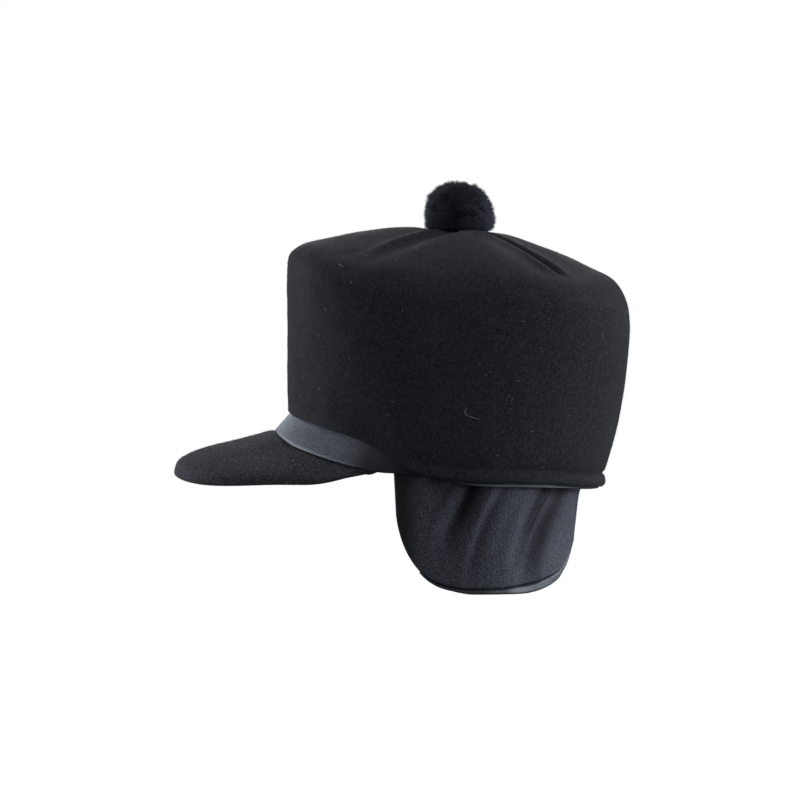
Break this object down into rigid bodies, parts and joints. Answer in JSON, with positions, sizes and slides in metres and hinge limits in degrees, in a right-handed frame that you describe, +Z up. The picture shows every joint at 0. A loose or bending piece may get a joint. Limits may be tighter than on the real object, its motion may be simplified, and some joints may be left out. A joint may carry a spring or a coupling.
{
  "type": "earband cap",
  "caption": "Black wool earband cap with a tall pinched crown, pompom, grosgrain ribbon, felt peak and a gathered ear band.",
  "frame": {"origin": "middle of the head opening, where the cap sits on the head", "axes": "+Z up out of the top of the head, the peak points to -Y, +X is the wearer's left"},
  "size_m": [0.199, 0.3053, 0.2722],
  "materials": {
    "black_felt": "matte brushed wool felt",
    "pompom_wool": "cut wool pile",
    "grey_grosgrain": "ribbed grosgrain with a slight sheen",
    "peak_felt": "matte wool felt over a stiff core",
    "blue_grey_flannel": "soft brushed flannel",
    "light_facing": "smooth facing cloth"
  },
  "bodies": {
    "root": {"crown": "black_felt", "pompom": "pompom_wool", "ribbon_band": "grey_grosgrain", "peak": "peak_felt", "ear_band": "blue_grey_flannel", "ear_band_hem": "light_facing"}
  },
  "joints": []
}
